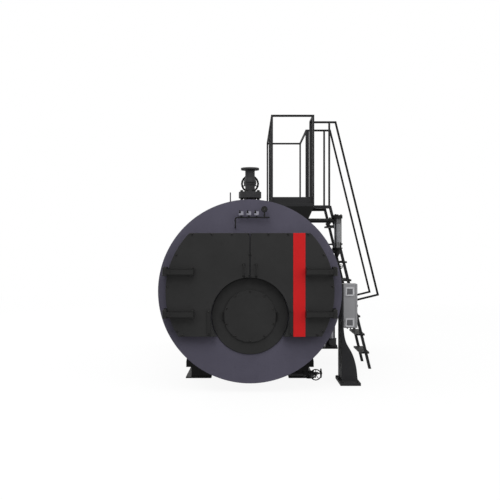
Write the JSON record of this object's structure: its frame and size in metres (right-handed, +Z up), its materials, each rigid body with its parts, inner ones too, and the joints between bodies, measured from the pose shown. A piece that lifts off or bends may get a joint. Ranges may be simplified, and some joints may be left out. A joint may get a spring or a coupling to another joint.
{
  "type": "industrial boiler",
  "caption": "Horizontal fire-tube steam boiler on skids, with hinged front doors, a burner opening, a steam valve, a service platform with a stair, a feed pump and a control stand.",
  "frame": {"origin": "middle of the floor area that the boiler covers, on the floor", "axes": "+Z up, +Y from the burner end to the rear, +X to the side with the platform's stair"},
  "size_m": [2.6907, 4.814, 3.24],
  "materials": {
    "shell_paint": "satin",
    "door_paint": "satin",
    "black_paint": "satin",
    "red_panel": "satin",
    "refractory": "rough",
    "gasket_rope": "woven",
    "tube_steel": "rough",
    "valve_iron": "satin",
    "platform_paint": "satin",
    "tread_steel": "satin",
    "enclosure_grey": "satin",
    "vent_plastic": "matte",
    "gauge_glass": "clear",
    "pump_steel": "brushed",
    "switch_grey": "matte"
  },
  "bodies": {
    "boiler": {"shell_barrel": "shell_paint", "front_plate_top": "shell_paint", "front_plate_base": "shell_paint", "front_plate_sides": "shell_paint", "burner_mouth_plate": "shell_paint", "seam_post": "shell_paint", "tube_sheet": "tube_steel", "rear_plate": "shell_paint", "rear_access_cover": "door_paint", "flue_outlet": "black_paint", "burner_ring": "door_paint", "burner_cover": "door_paint", "hinge_brackets": "door_paint", "pressure_header": "black_paint", "pressure_switches": "switch_grey", "pressure_gauge": "black_paint", "steam_nozzle": "valve_iron", "steam_valve_body": "valve_iron", "steam_valve_bonnet": "valve_iron", "vent_pipe": "black_paint", "platform_frame": "platform_paint", "platform_floor": "tread_steel", "toe_boards": "platform_paint", "railing_posts": "platform_paint", "railing_top_rails": "platform_paint", "platform_brackets": "black_paint", "stair_stringers": "platform_paint", "stair_treads": "tread_steel", "stair_handrails": "platform_paint", "skid_plates": "black_paint", "saddles": "black_paint", "blowdown_line": "black_paint", "level_gauge_pipes": "black_paint", "level_gauge_column": "black_paint", "level_gauge_collars": "pump_steel", "level_gauge_glass": "gauge_glass", "pump_shelf": "black_paint", "feed_pump": "valve_iron", "feed_pump_motor": "black_paint", "control_pedestal": "black_paint", "control_cabinet": "enclosure_grey", "cabinet_vents": "vent_plastic"},
    "left_door": {"left_door": "door_paint", "left_door_lining": "refractory", "left_door_gasket": "gasket_rope", "left_door_fittings": "door_paint"},
    "right_door": {"right_door": "door_paint", "right_door_lining": "refractory", "right_door_gasket": "gasket_rope", "right_door_fittings": "door_paint", "red_strip": "red_panel"},
    "steam_handwheel": {"steam_valve_handwheel": "valve_iron"},
    "front_drain_wheel": {"blowdown_front_wheel": "black_paint"},
    "side_drain_wheel": {"blowdown_side_wheel": "black_paint"}
  },
  "joints": [
    {"name": "right_door_hinge", "type": "hinge", "parent": "boiler", "child": "right_door", "pos_m": [0.56163, -2.383, 1.105], "axis": [0, 0, 1], "range_deg": [0, 110]},
    {"name": "left_door_hinge", "type": "hinge", "parent": "boiler", "child": "left_door", "pos_m": [-1.24837, -2.383, 1.105], "axis": [0, 0, -1], "range_deg": [0, 110]},
    {"name": "steam_valve_stem", "type": "hinge", "parent": "boiler", "child": "steam_handwheel", "pos_m": [-0.34337, 0.091, 2.491], "axis": [0, 1, 0], "range_deg": [0, 2700]},
    {"name": "front_drain_stem", "type": "hinge", "parent": "boiler", "child": "front_drain_wheel", "pos_m": [0.40663, -1.816, 0.132], "axis": [0, -1, 0], "range_deg": [0, 1620]},
    {"name": "side_drain_stem", "type": "hinge", "parent": "boiler", "child": "side_drain_wheel", "pos_m": [0.48463, -1.633, 0.117], "axis": [1, 0, 0], "range_deg": [0, 1620]}
  ]
}
